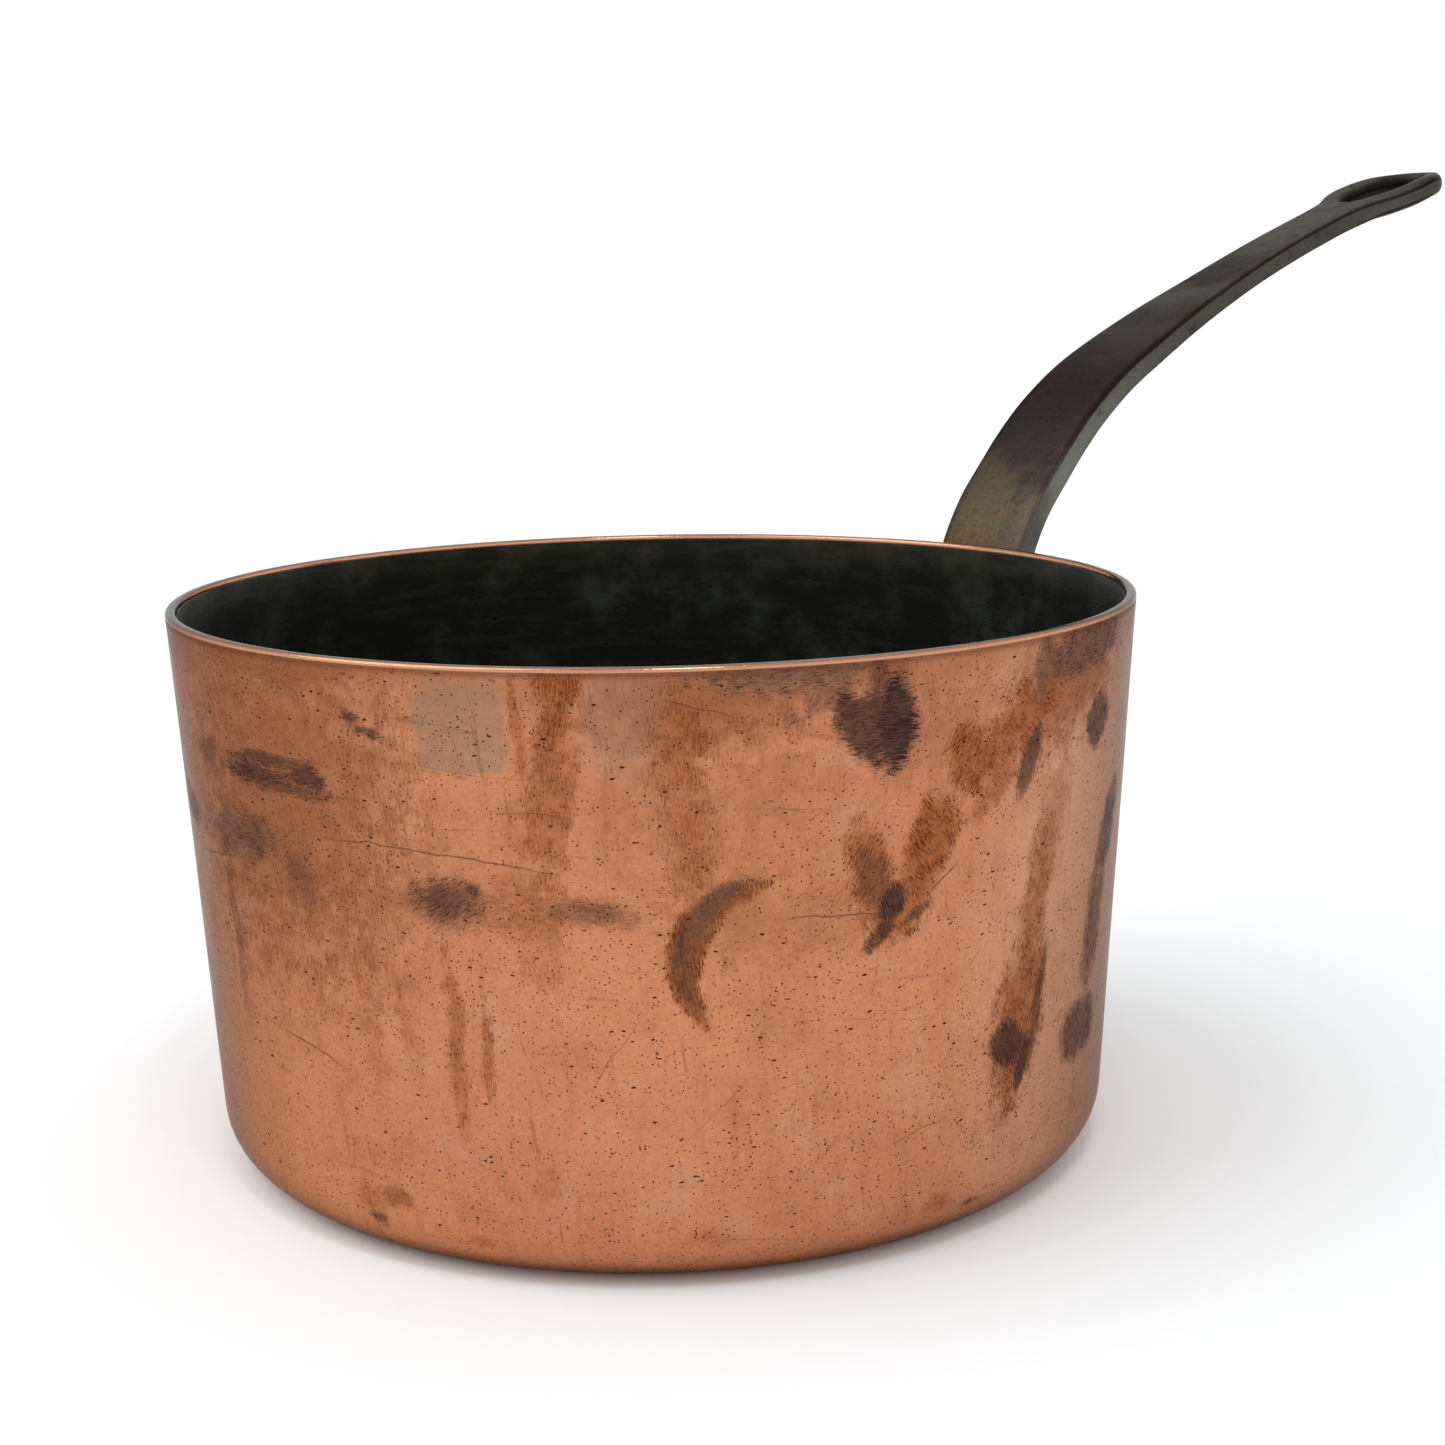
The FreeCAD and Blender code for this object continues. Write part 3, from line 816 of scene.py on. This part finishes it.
copperFinish = {
    "plain": (0.53, 0.206, 0.107, 1.0),
    "orange": (0.58, 0.234, 0.108, 1.0),
    "reflectionPink": (0.57, 0.27, 0.165, 1.0),
    "brownHazeAndShade": (0.29, 0.108, 0.050, 1.0),
    "paleFilm": (0.56, 0.31, 0.205, 1.0),
    "darkUnderRim": (0.16, 0.050, 0.024, 1.0),
    "rimPolishAndHighlight": (0.62, 0.30, 0.18, 1.0),
    "grazing": (0.40, 0.46, 0.48, 1.0),     # how bright the metal stays seen along its face
    "roughness": 0.29,
    "pitColour": (0.048, 0.015, 0.008, 1.0),
    "scratchColour": (0.11, 0.042, 0.024, 1.0),
    # colour of the wash, colour of the strokes, grain size, ragged edge, patchy body
    "inks": {
        "hazeAndDarkReflection": ((0.32, 0.110, 0.050, 1.0), (0.27, 0.088, 0.038, 1.0), 0.60, 0.5, 1.0),
        "film": ((0.34, 0.190, 0.130, 1.0), (0.29, 0.16, 0.105, 1.0), 1.0, 0.3, 0.3),
        "amber": ((0.37, 0.112, 0.040, 1.0), (0.112, 0.025, 0.007, 1.0), 0.34, 1.5, 1.0),
        "grey": ((0.25, 0.113, 0.070, 1.0), (0.085, 0.043, 0.032, 1.0), 0.40, 1.2, 0.8),
        "dark": ((0.15, 0.066, 0.045, 1.0), (0.032, 0.016, 0.015, 1.0), 0.40, 1.5, 0.30),
    },
    # degrees round the wall, height, half width, half height in mm, tilt in degrees, strength,
    # softness, which way it was rubbed in degrees, and where needed squareness and bend.
    # Past 100 degrees either way a stain lies on the side away from the front
    "stains": {
        "hazeAndDarkReflection": [
            # the wide soft patch at -44 degrees darkens the left third of the wall: haze, and a painted
            # darker reflection
            (-44, 107, 34, 40, 0, 0.85, 0.80, 0), (-44, 135.5, 26, 5.5, 0, 1.0, 0.60, 90),
            (4, 130, 24, 9, 0, 0.90, 0.80, 0), (8, 104, 26, 24, 0, 0.28, 0.95, 0),
            (31, 122, 16, 10, 20, 0.45, 0.90, 20), (50, 126, 24, 13, 20, 0.80, 0.70, 30),
            (-41, 86, 7, 7.5, 0, 0.85, 0.50, 0), (12, 84, 24, 8, 0, 0.35, 0.90, 60),
            (-32, 17, 5, 2.2, -10, 0.80, 0.50, 90), (-26, 87, 44, 4.5, 0, 0.60, 0.90, 90),
            (10, 84, 20, 3.5, 0, 0.40, 0.90, 90), (48, 92, 5, 22, -14, 0.35, 0.70, -14),
            (24.2, 134.6, 5.4, 4.2, 0, 1.0, 0.70, 0), (174, 70, 40, 44, 0, 0.55, 0.85, 0),
        ],
        "film": [
            (-20, 124.5, 9.4, 8.2, 0, 0.50, 0.08, 90, 7.0), (-3, 127, 8, 11, 0, 0.25, 0.60, 90, 2.6),
            (-104, 86, 14, 17, 10, 0.60, 0.30, 90, 3.0),
        ],
        "amber": [
            (-36, 15, 4.2, 3.0, -20, 0.45, 0.90, 90), (-22, 9, 5.0, 2.0, 0, 0.40, 0.90, 90),
            (-13, 26, 3.0, 3.6, 20, 0.30, 0.95, 0), (33, 12, 4.6, 1.8, 0, 0.45, 0.90, 90),
            (5, 12, 5.5, 1.6, 0, 0.30, 0.95, 90), (-28, 58, 2.4, 9, 6, 0.30, 0.95, 0),
            (-10.4, 128, 2.4, 8.5, 0, 0.90, 0.50, 0), (-14.0, 126, 1.2, 10, 4, 0.60, 0.50, 0),
            (-9.0, 108, 1.6, 12, -6, 0.55, 0.60, 0), (-9.8, 135, 4.5, 6, 0, 0.95, 0.30, 0),
            (-11, 112, 4.2, 22, -4, 0.60, 0.70, 2), (-13, 88, 5.5, 17, 4, 0.32, 0.80, 0),
            (2, 121, 5.2, 11, 0, 0.62, 0.60, 0), (3.2, 101, 4.6, 13, 0, 0.50, 0.70, 0),
            (34.4, 113.5, 6, 7.5, 20, 0.90, 0.40, 35), (42, 121, 19, 5.5, 33, 0.70, 0.50, -55),
            (38.5, 107, 10, 3.4, 38, 0.55, 0.50, -50), (29.2, 97, 5.8, 9.5, -22, 0.95, 0.30, -35, 3.0),
            (22.4, 91, 4.8, 12, 18, 0.80, 0.45, 20), (25.5, 83, 7.5, 7, 0, 0.85, 0.45, -20),
            (2.9, 80.2, 4.2, 17.0, -21.8, 1.0, 0.22, -5, 2.2, -0.034),
            (2.2, 77.0, 2.6, 11.0, -18, 1.0, 0.30, -5, 2.2, -0.034),
            (46, 78, 4.5, 17, -12, 0.55, 0.60, -12), (44, 50, 8, 21, -9, 0.80, 0.45, -12),
            (-22.6, 58, 1.8, 22, 1, 0.55, 0.60, 0), (-19, 55, 1.4, 11, 0, 0.55, 0.60, 0),
            (-33, 62, 3, 18, 2, 0.25, 0.80, 0), (104, 96, 12, 22, 14, 0.75, 0.50, 14),
            (-158, 104, 8, 19, -10, 0.80, 0.50, -10), (116, 36, 9, 16, -25, 0.75, 0.50, -25),
        ],
        "grey": [
            (13, 135.6, 20, 3.2, 0, 0.90, 0.55, 90), (17.5, 130.5, 8, 2.2, 30, 0.55, 0.70, 60),
            (54, 133, 17, 5.4, 6, 0.95, 0.35, 80), (45, 131, 3.5, 7, -10, 0.6, 0.35, 0),
            (58.5, 114, 6.5, 7, 0, 0.95, 0.25, 0, 1.3), (-70, 95, 8, 3.6, -6, 0.60, 0.50, 90),
            (-53, 94, 17, 4.6, 4, 0.50, 0.60, 90), (65, 86, 6, 11, -30, 0.90, 0.40, -10),
            (61.5, 64, 6, 15, -6, 0.75, 0.45, 0), (59, 39, 11, 7, 0, 0.90, 0.40, -8),
            (5.0, 87.0, 2.4, 8.5, -36, 0.55, 0.50, -38, 2.2, -0.03),
            (130, 118, 36, 30, 0, 0.60, 0.60, 0), (-122, 122, 20, 9, 4, 0.70, 0.40, 90),
        ],
        "dark": [
            (-42, 88, 4.5, 5.0, 0, 0.34, 0.95, 30), (-50, 96, 7, 3.4, 0, 0.30, 0.95, 90),
            (20.9, 123.6, 4.4, 9.2, 28, 0.84, 0.45, 90, 1.5),
            (24.6, 123.6, 5.0, 10.0, 2, 1.0, 0.40, 90, 1.45),
            (22.6, 125.2, 6.4, 6.2, 0, 0.84, 0.50, 90), (22.6, 133.6, 1.5, 4.2, 0, 0.62, 0.60, 0),
            (43.6, 110, 2.4, 7.5, -22, 0.62, 0.40, -20), (25.0, 84.5, 3.2, 4.4, -12, 0.95, 0.40, -20),
            (23.2, 77.5, 4.6, 1.9, 35, 0.70, 0.50, -40), (28.2, 81, 3.0, 1.2, 30, 0.60, 0.50, -40),
            (22.6, 90, 3.4, 6, 18, 0.35, 0.60, 20), (1.9, 75.5, 0.9, 10, 4, 0.65, 0.50, 0, 2.2, -0.03),
            (3.0, 81.0, 2.8, 14, -23, 0.34, 0.60, -10, 2.2, -0.034),
            (-48.5, 109.5, 12, 2.0, 0, 0.75, 0.70, 90), (-46, 113.4, 15, 1.2, 0, 0.60, 0.70, 90),
            (-43, 107.4, 14, 1.2, 0, 0.50, 0.80, 90), (-39.5, 111, 5, 2.2, 0, 0.70, 0.50, 90),
            (-60, 111.5, 5.5, 3, 0, 0.32, 0.60, 0), (-56.5, 75, 1.8, 22, 2, 0.25, 0.90, 0),
            (-22.4, 87.6, 6.0, 4.2, 0, 0.62, 0.85, 60), (-19.2, 90.2, 2.0, 0.9, 0, 0.85, 0.40, 90),
            (-7, 86, 8, 2.0, -6, 0.38, 0.85, 90), (42.0, 45, 6.0, 4.6, -20, 0.80, 0.40, -20),
            (45, 39, 2.0, 6, -18, 0.75, 0.40, -18), (47.4, 52, 1.3, 13, -10, 0.50, 0.55, -10),
            (-32.4, 126.6, 2.2, 1.0, -12, 0.75, 0.35, 90),
            (-30.6, 123.4, 3.6, 1.0, -22, 0.65, 0.35, 80), (-34.5, 11, 2.6, 0.9, 0, 0.60, 0.50, 90),
            (37, 10, 4, 0.9, 0, 0.60, 0.50, 90), (152, 112, 7, 14, -20, 0.60, 0.35, 90),
            (-150, 52, 4, 11, 24, 0.60, 0.45, 24),
        ],
    },
    # single scratches: degrees round the wall, height, half length in mm, tilt in degrees, strength
    "scratches": [
        (-24, 98, 30, -3.4, 0.75), (18.5, 83.5, 13, -4, 0.75), (-43, 48.5, 13, -12, 0.8),
        (31, 88, 5.5, 32, 0.8), (4.2, 129.6, 8, -15, 0.7), (-62, 86.5, 16, 8, 0.5),
        (-13, 107.5, 9, -3, 0.45), (-5, 56, 11, 56, 0.35), (29, 31, 8, 12, 0.5),
        (36, 68, 3.2, 48, 0.5), (-55.6, 70, 7, -86, 0.5), (23, 72, 9, 82, 0.3),
    ],
    "stainWander": 1.5,         # mm that a stain's outline strays
}


def stainDepth(x, height, row):
    # 1 well inside the stain, 0 outside it, and how far out the point lies in stain widths
    turn, centre, halfWidth, halfHeight, tilt = row[:5]
    soft = row[6]
    square = row[8] if len(row) > 8 else 2.0
    bend = row[9] if len(row) > 9 else 0.0
    full = 360.0 * wallPerDegree
    across = (x - turn * wallPerDegree + full / 2) % full - full / 2
    rise = height - centre
    reach = stainReach * max(halfWidth, halfHeight)
    if abs(across) > reach or abs(rise) > reach:
        return 0.0, 9.0
    lean = math.radians(tilt)
    u = across * math.cos(lean) + rise * math.sin(lean)
    v = rise * math.cos(lean) - across * math.sin(lean)
    u += bend * v * v
    away = (abs(u / halfWidth) ** square + abs(v / halfHeight) ** square) ** (1.0 / square)
    return min(1.0, max(0.0, (1.0 + soft - away) / (2.0 * soft))), away


def rubStains(vessel):
    # every ink is a vertex attribute: depth inside a stain, strength, and the way it was rubbed
    finish = copperFinish
    bucket = 10.0
    buckets = math.ceil(360.0 * wallPerDegree / bucket)
    columns = {}
    for index, vert in enumerate(vessel.data.vertices):
        x, y, z = vert.co / mm
        if math.hypot(x, y) * mm < wallRadius(vert.co.z) - 1.2 * mm or z < 4.0:
            continue
        stray = noise.noise_vector(vert.co / (12.0 * mm)) * finish["stainWander"]
        stray += noise.noise_vector(vert.co / (3.6 * mm)) * finish["stainWander"] * 0.45
        turn = (math.degrees(math.atan2(y, x)) + wallFront + 180.0) % 360.0 - 180.0
        spot = (index, turn * wallPerDegree + stray.x, z + stray.y)
        columns.setdefault(int(spot[1] // bucket), []).append(spot)
    for ink in finish["inks"]:
        count = len(vessel.data.vertices)
        best = [0.0] * count
        nearest = [2.0] * count
        values = [0.0] * count * 3
        for row in finish["stains"][ink]:
            strength, rubbed = row[5], math.radians(row[7])
            middle = row[0] * wallPerDegree
            reach = stainReach * max(row[2], row[3]) + 4.0
            for place in range(int((middle - reach) // bucket), int((middle + reach) // bucket) + 1):
                place = (place + buckets // 2) % buckets - buckets // 2
                for index, x, height in columns.get(place, ()):
                    depth, away = stainDepth(x, height, row)
                    if depth * strength > best[index] or (best[index] == 0.0 and away < nearest[index]):
                        best[index] = depth * strength
                        nearest[index] = away
                        values[3 * index:3 * index + 3] = depth, strength, rubbed
        layer = vessel.data.attributes.new(ink + "Stain", "FLOAT_VECTOR", "POINT")
        layer.data.foreach_set("vector", values)


def paintStains(tree, flat, colour):
    masks = {}
    for ink, (washPaint, strokePaint, grainSize, ragged, patchy) in copperFinish["inks"].items():
        layer = addNode(tree, "ShaderNodeAttribute", attribute_name=ink + "Stain")
        mark = useGroup(tree, "rubbedInk", {"Place": flat, "Stain": layer.outputs["Vector"],
                                            "Grain Size": grainSize, "Ragged": ragged, "Patchy": patchy})
        colour = mixColour(tree, mark["Wash"], colour, washPaint)
        colour = mixColour(tree, mark["Strokes"], colour, strokePaint)
        masks[ink] = mark["Strokes"]
    return colour, masks


def paintScratches(tree, flat):
    total = 0.0
    for turn, height, halfLength, tilt, strength in copperFinish["scratches"]:
        total = useGroup(tree, "cutMark", {
            "Place": flat, "Centre": (turn * wallPerDegree, height, 0.0), "Half Length": halfLength,
            "Tilt": -math.radians(tilt), "Bend": 0.06 / halfLength, "Strength": strength,
            "Before": total})["Mask"]
    return total


def makeCopper():
    finish = copperFinish
    paint, tree, shader, place = startFinish("agedCopper")
    wall = useGroup(tree, "wallPlace", {"Place": place})
    turn, height, reach = wall["Turn"], wall["Height"], wall["Reach"]

    # the edges of every stain wander a little
    wanderNode = addNode(tree, "ShaderNodeTexNoise", noise_dimensions="3D")
    feed(tree, wanderNode.inputs["Vector"], place)
    wanderNode.inputs["Scale"].default_value = 1.0 / 9.0
    wanderNode.inputs["Detail"].default_value = 4.0
    wander = vectorMaths(tree, "SUBTRACT", wanderNode.outputs["Color"], (0.5, 0.5, 0.5))
    wander = squeeze(tree, wander, 2.4, 2.4, 0.0)
    flat = vectorMaths(tree, "ADD", wall["Flat"], wander)

    # body colour: orange drift, a pinker right side that is painted reflection, then soft vertical streaks
    # and a fine grain
    broad = noiseAt(tree, place, 46.0, 3.0, 0.5)
    drift = stretch(tree, broad, 0.40, 0.66, 0.0, 0.8, soft=True)
    colour = mixColour(tree, drift, finish["plain"], finish["orange"])
    # painted reflection: the wall turns pinker towards its right side
    right = plus(tree, turn, times(tree, minus(tree, broad, 0.5), 30.0))
    reflectedPinkSide = times(tree, stretch(tree, right, 28.0, 50.0, soft=True),
                     stretch(tree, right, 160.0, 105.0, soft=True))
    colour = mixColour(tree, reflectedPinkSide, colour, finish["reflectionPink"])
    streaks = noiseAt(tree, squeeze(tree, place, 1.0, 1.0, 0.12), 3.4, 4.0, 0.6)
    brown = stretch(tree, streaks, 0.50, 0.82, 0.0, 0.40, soft=True)
    colour = mixColour(tree, brown, colour, finish["brownHazeAndShade"])
    cloud = noiseAt(tree, shift(tree, place, (50.0, 9.0, 4.0)), 14.0, 5.0, 0.62)
    clouded = stretch(tree, cloud, 0.50, 0.74, 0.0, 0.28, soft=True)
    colour = mixColour(tree, clouded, colour, finish["brownHazeAndShade"])
    filmed = stretch(tree, cloud, 0.46, 0.30, 0.0, 0.35, soft=True)
    colour = mixColour(tree, filmed, colour, finish["paleFilm"])
    grain = noiseAt(tree, place, 0.9, 3.0, 0.7)
    colour = mixColour(tree, 1.0, colour, stretch(tree, grain, 0.25, 0.75, 0.84, 1.14), blend="MULTIPLY")

    # a darker band hangs under the rim
    topBand = plus(tree, height, times(tree, cloud, 9.0))
    topBand = stretch(tree, topBand, 131.0, 140.0, 0.0, 0.42, soft=True)
    colour = mixColour(tree, topBand, colour, finish["brownHazeAndShade"])

    colour, masks = paintStains(tree, flat, colour)
    stained = larger(tree, larger(tree, masks["dark"], masks["amber"]), masks["grey"])

    # pits: crowded small ones, a few wide ones, and short dashes that lie round the wall
    crowd = noiseAt(tree, shift(tree, place, (5.0, 71.0, 2.0)), 26.0, 3.0, 0.6)
    share = stretch(tree, crowd, 0.38, 0.62, 0.45, 1.0)
    share = timesPlus(tree, stained, 0.3, share)
    small = pitsAt(tree, place, 0.74, 0.35, share)
    wide = pitsAt(tree, place, 2.0, 0.16, times(tree, share, 0.3))
    dashes = pitsAt(tree, squeeze(tree, flat, 0.42, 1.0, 1.0), 1.05, 0.27, times(tree, share, 0.75))
    dashes = times(tree, dashes, stretch(tree, height, 8.0, 14.0))
    pits = larger(tree, larger(tree, small, wide), dashes)
    colour = mixColour(tree, times(tree, pits, 1.15), colour, finish["pitColour"])

    # scratches: a few placed ones and a faint field of fine ones
    fineUp = scratchesAt(tree, wall["Flat"], 1.45, 2.2, 0.016, 0.40)
    fineAcross = scratchesAt(tree, wall["Flat"], 0.09, 3.1, 0.014, 0.34)
    slanted = scratchesAt(tree, wall["Flat"], -0.8, 5.0, 0.010, 0.30)
    fine = larger(tree, larger(tree, fineUp, fineAcross), slanted)
    placed = paintScratches(tree, flat)
    cuts = larger(tree, times(tree, fine, 0.40), placed)
    colour = mixColour(tree, times(tree, cuts, 0.95), colour, finish["scratchColour"])

    # painted contact shade: a dark line low on the foot's bend, where the pan meets the floor, and a dull
    # grey top to the rim
    contactShadeLine = maths(tree, "ABSOLUTE", minus(tree, height, timesPlus(tree, cloud, 3.0, 0.2)))
    contactShadeLine = times(tree, stretch(tree, contactShadeLine, 1.6, 0.2, 0.0, 0.35, soft=True),
                     stretch(tree, reach, 98.0, 102.0))
    colour = mixColour(tree, contactShadeLine, colour, finish["brownHazeAndShade"])
    # a dark line just under the rim's edge
    under = times(tree, stretch(tree, height, 135.4, 136.8, soft=True), stretch(tree, height, 137.5, 137.2))
    colour = mixColour(tree, times(tree, under, 0.6), colour, finish["darkUnderRim"])
    # a lighter band on the rim's rounding: polished copper, and a painted highlight
    edge = stretch(tree, height, 137.25, 137.45)
    colour = mixColour(tree, edge, colour, finish["rimPolishAndHighlight"])
    rimTop = stretch(tree, height, 137.78, 137.95, 0.0, 0.85)
    colour = mixColour(tree, rimTop, colour, finish["inks"]["film"][0])
    feed(tree, shader.inputs["Base Color"], colour)

    shader.inputs["Metallic"].default_value = 1.0
    shader.inputs["Specular Tint"].default_value = finish["grazing"]
    rough = stretch(tree, cloud, 0.3, 0.7, finish["roughness"] - 0.03, finish["roughness"] + 0.08)
    rough = plus(tree, rough, times(tree, stained, 0.16))
    rough = plus(tree, rough, times(tree, pits, 0.25))
    rough = times(tree, rough, stretch(tree, edge, 0.0, 1.0, 1.0, 0.35))
    feed(tree, shader.inputs["Roughness"], rough)

    ripple = noiseAt(tree, place, 5.0, 4.0, 0.6)
    relief = timesPlus(tree, small, -0.05, times(tree, ripple, 0.10))
    relief = plus(tree, relief, times(tree, grain, 0.012))
    emboss(tree, shader, relief)
    return paint


def makeRivetCopper():
    paint, tree, shader, place = startFinish("hammeredCopper")
    wall = useGroup(tree, "wallPlace", {"Place": place})
    cloud = noiseAt(tree, place, 5.0, 4.0, 0.6)
    colour = mixColour(tree, stretch(tree, cloud, 0.4, 0.7, 0.0, 0.8), copperFinish["plain"],
                       copperFinish["brownHazeAndShade"])
    pits = pitsAt(tree, place, 1.6, 0.3, 0.6)
    colour = mixColour(tree, times(tree, pits, 0.7), colour, copperFinish["pitColour"])
    # the heads inside the pan were tinned with the lining
    inside = stretch(tree, wall["Reach"], timesPlus(tree, wall["Height"], wallSlope, 111.0),
                     timesPlus(tree, wall["Height"], wallSlope, 109.8))
    colour = mixColour(tree, inside, colour, tinFinish["plain"])
    feed(tree, shader.inputs["Base Color"], colour)
    shader.inputs["Metallic"].default_value = 1.0
    feed(tree, shader.inputs["Roughness"], stretch(tree, cloud, 0.3, 0.7, 0.32, 0.5))
    emboss(tree, shader, timesPlus(tree, pits, -0.08, times(tree, cloud, 0.35)))
    return paint


# how the tin looks

tinFinish = {
    "plain": (0.006, 0.007, 0.004, 1.0),
    "worn": (0.034, 0.038, 0.027, 1.0),
    "brown": (0.024, 0.018, 0.007, 1.0),
    "roughness": 0.52,
}


def makeDarkTin():
    finish = tinFinish
    paint, tree, shader, place = startFinish("darkenedTin")
    wall = useGroup(tree, "wallPlace", {"Place": place})
    cloud = noiseAt(tree, place, 22.0, 5.0, 0.62)
    clouded = stretch(tree, cloud, 0.46, 0.72, soft=True)
    colour = mixColour(tree, clouded, finish["plain"], finish["worn"])
    # wiped round the wall, and in rings on the floor
    rubbed = vectorMaths(tree, "ADD", wall["Flat"], join(tree, 0.0, wall["Reach"], 0.0))
    wipes = noiseAt(tree, squeeze(tree, rubbed, 0.22, 1.0, 1.0), 4.0, 4.0, 0.65)
    offCentre = stretch(tree, wall["Reach"], 12.0, 60.0)
    wiped = times(tree, stretch(tree, wipes, 0.5, 0.8, 0.0, 0.8), offCentre)
    colour = mixColour(tree, wiped, colour, finish["worn"])
    upper = stretch(tree, wall["Height"], 120.0, 138.0, 0.0, 0.6, soft=True)
    colour = mixColour(tree, times(tree, upper, stretch(tree, cloud, 0.35, 0.65)), colour, finish["brown"])
    pits = pitsAt(tree, place, 1.8, 0.3, 0.5)
    colour = mixColour(tree, times(tree, pits, 0.5), colour, (0.004, 0.004, 0.003, 1.0))
    feed(tree, shader.inputs["Base Color"], colour)
    shader.inputs["Metallic"].default_value = 0.8
    feed(tree, shader.inputs["Roughness"], stretch(tree, wipes, 0.3, 0.7, finish["roughness"] + 0.1,
                                                    finish["roughness"] - 0.08))
    rings = times(tree, noiseAt(tree, squeeze(tree, rubbed, 0.05, 1.0, 1.0), 1.6, 3.0, 0.6), offCentre)
    relief = timesPlus(tree, cloud, 0.3, times(tree, rings, 0.05))
    relief = timesPlus(tree, pits, -0.06, relief)
    emboss(tree, shader, relief)
    return paint


# how the iron looks

ironFinish = {
    "bronze": (0.076, 0.059, 0.038, 1.0),
    "warm": (0.125, 0.058, 0.026, 1.0),
    "purple": (0.036, 0.026, 0.028, 1.0),
    "grey": (0.112, 0.104, 0.096, 1.0),
    "slate": (0.060, 0.051, 0.049, 1.0),
    "dark": (0.014, 0.010, 0.008, 1.0),
    "edgeShadeColour": (0.016, 0.007, 0.004, 1.0),
    "paleSide": (0.200, 0.205, 0.165, 1.0),
    "grazing": (0.48, 0.47, 0.45, 1.0),
    "roughness": 0.36,
}


def makeDarkIron():
    finish = ironFinish
    paint, tree, shader, place = startFinish("forgedIron")
    y, z = split(tree, place)[1:]
    zone = addNode(tree, "ShaderNodeAttribute", attribute_name="ironZone")
    outward, holeShade = split(tree, zone.outputs["Vector"])[:2]
    cloud = noiseAt(tree, place, 16.0, 5.0, 0.6)
    mottle = noiseAt(tree, shift(tree, place, (9.0, 40.0, 3.0)), 5.0, 5.0, 0.6)
    drift = noiseAt(tree, shift(tree, place, (70.0, 10.0, 30.0)), 30.0, 2.0, 0.5)

    # bronze by the pan, then dark purple-brown, then a grey satin painted sheen towards the eyelet
    line = timesPlus(tree, y, -0.28, z)
    line = timesPlus(tree, minus(tree, cloud, 0.5), 18.0, line)
    line = timesPlus(tree, minus(tree, mottle, 0.5), 9.0, line)
    darkening = stretch(tree, line, 153.0, 163.0, soft=True)
    paintedSheen = stretch(tree, timesPlus(tree, drift, 30.0, z), 192.0, 226.0, 0.0, 1.0, soft=True)
    colour = mixColour(tree, stretch(tree, mottle, 0.46, 0.70, 0.0, 0.45), finish["bronze"], finish["warm"])
    colour = mixColour(tree, stretch(tree, cloud, 0.48, 0.70, 0.0, 0.55), colour, finish["slate"])
    colour = mixColour(tree, darkening, colour, finish["purple"])
    sheenGrey = mixColour(tree, stretch(tree, drift, 0.40, 0.62, soft=True), finish["grey"], finish["slate"])
    colour = mixColour(tree, paintedSheen, colour, sheenGrey)

    # the sides: pale and greenish by the pan, darker further out; painted shade as a dark reddish line along
    # each crease
    sides = stretch(tree, outward, 0.93, 1.0, soft=True)
    pale = times(tree, stretch(tree, z, 205.0, 150.0, 0.15, 0.9, soft=True),
                 stretch(tree, drift, 0.30, 0.52, 0.25, 1.0, soft=True))
    sideColour = mixColour(tree, pale, finish["slate"], finish["paleSide"])
    colour = mixColour(tree, times(tree, sides, 0.9), colour, sideColour)
    edgeShadeLine = times(tree, stretch(tree, outward, 0.80, 0.94, soft=True),
                       stretch(tree, outward, 1.0, 0.97, soft=True))
    edgeShadeLine = times(tree, edgeShadeLine, stretch(tree, line, 150.0, 172.0, 0.15, 0.85))
    colour = mixColour(tree, edgeShadeLine, colour, finish["edgeShadeColour"])
    # painted shade: the inner walls of the eyelet's hole turn nearly black
    colour = mixColour(tree, times(tree, stretch(tree, holeShade, 0.2, 0.9), 0.9), colour, finish["dark"])

    crust = stretch(tree, mottle, 0.54, 0.74, 0.0, 0.45, soft=True)
    colour = mixColour(tree, crust, colour, finish["dark"])
    fine = noiseAt(tree, place, 0.9, 3.0, 0.7)
    colour = mixColour(tree, 1.0, colour, stretch(tree, fine, 0.25, 0.75, 0.80, 1.18), blend="MULTIPLY")
    pits = pitsAt(tree, place, 1.3, 0.26, 0.35)
    colour = mixColour(tree, times(tree, pits, 0.55), colour, finish["dark"])
    feed(tree, shader.inputs["Base Color"], colour)

    shader.inputs["Metallic"].default_value = 1.0
    shader.inputs["Specular Tint"].default_value = finish["grazing"]
    rough = stretch(tree, cloud, 0.3, 0.7, finish["roughness"] - 0.05, finish["roughness"] + 0.09)
    feed(tree, shader.inputs["Roughness"], timesPlus(tree, crust, 0.25, rough))
    relief = timesPlus(tree, mottle, 0.20, times(tree, fine, 0.02))
    relief = timesPlus(tree, pits, -0.05, relief)
    emboss(tree, shader, relief)
    return paint


buildEffects()
makeCamera()
makeStudio()
print("studio ready")
makeVessel()
makeTin()
makeHandle()
makeRivets()
